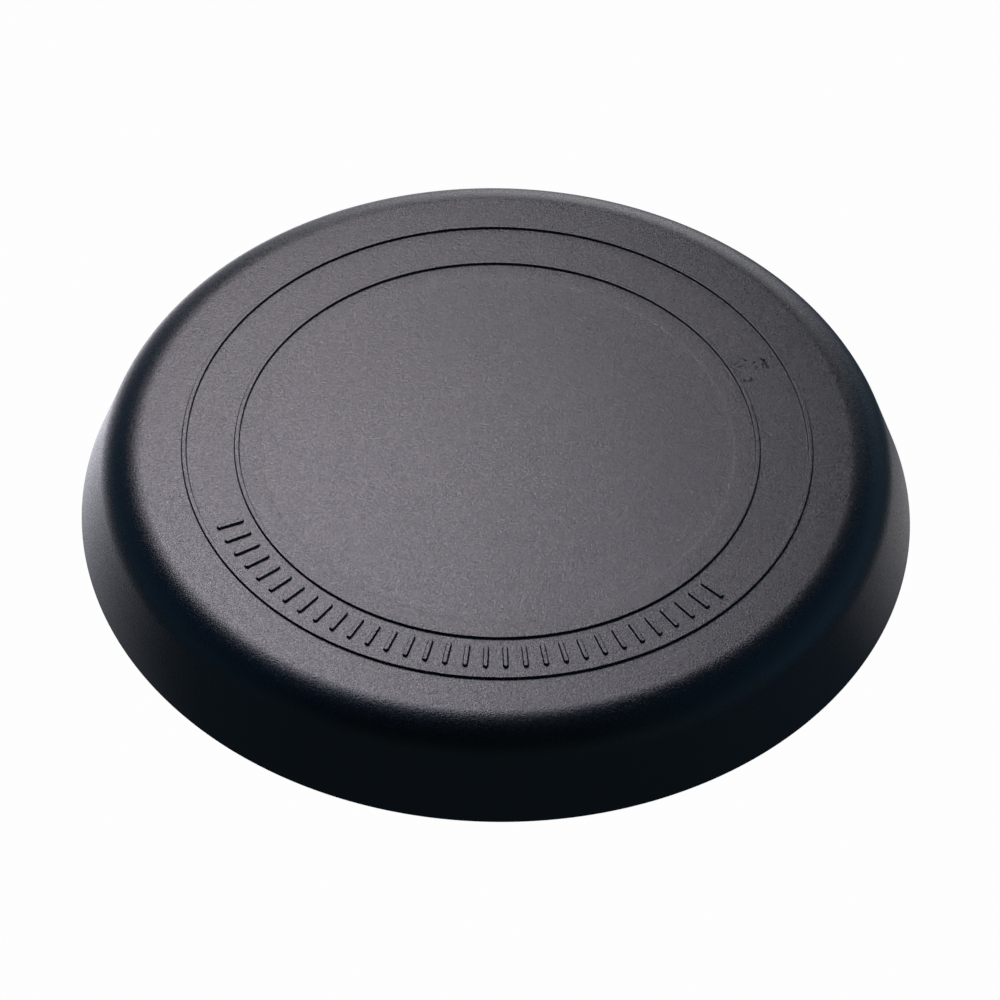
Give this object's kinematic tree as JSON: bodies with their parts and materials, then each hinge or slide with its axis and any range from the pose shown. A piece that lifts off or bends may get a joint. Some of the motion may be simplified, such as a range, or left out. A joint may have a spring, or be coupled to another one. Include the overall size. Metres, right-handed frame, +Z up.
{
  "type": "practice pad",
  "caption": "Round rubber drum practice pad with a flat playing face, ring ridges, a rounded shoulder, a sloping skirt and a threaded stand socket underneath.",
  "frame": {"origin": "centre of the rest face, the flat underside of the cover's lip, below the middle of the playing face", "axes": "+Z up through the playing face; +X to the right and +Y away from the player; the row of raised bars runs from 204 to 318 degrees anticlockwise from +X"},
  "size_m": [0.203, 0.203, 0.0232],
  "materials": {
    "cover_rubber": "matte, finely grained",
    "sponge_rubber": "matte, open cells",
    "fibreboard": "raw sanded fibreboard",
    "plate_steel": "fine-textured powder coat",
    "zinc_steel": "bright zinc plate"
  },
  "bodies": {
    "root": {"rubber_cover": "cover_rubber", "rebound_disc": "sponge_rubber", "core_board": "fibreboard", "base_plate": "plate_steel", "stand_socket": "zinc_steel", "socket_screw_1": "zinc_steel", "socket_screw_2": "zinc_steel", "socket_screw_3": "zinc_steel", "base_screw_1": "zinc_steel", "base_screw_2": "zinc_steel", "base_screw_3": "zinc_steel", "base_screw_4": "zinc_steel", "base_screw_5": "zinc_steel", "base_screw_6": "zinc_steel", "base_screw_7": "zinc_steel", "base_screw_8": "zinc_steel"}
  },
  "joints": []
}
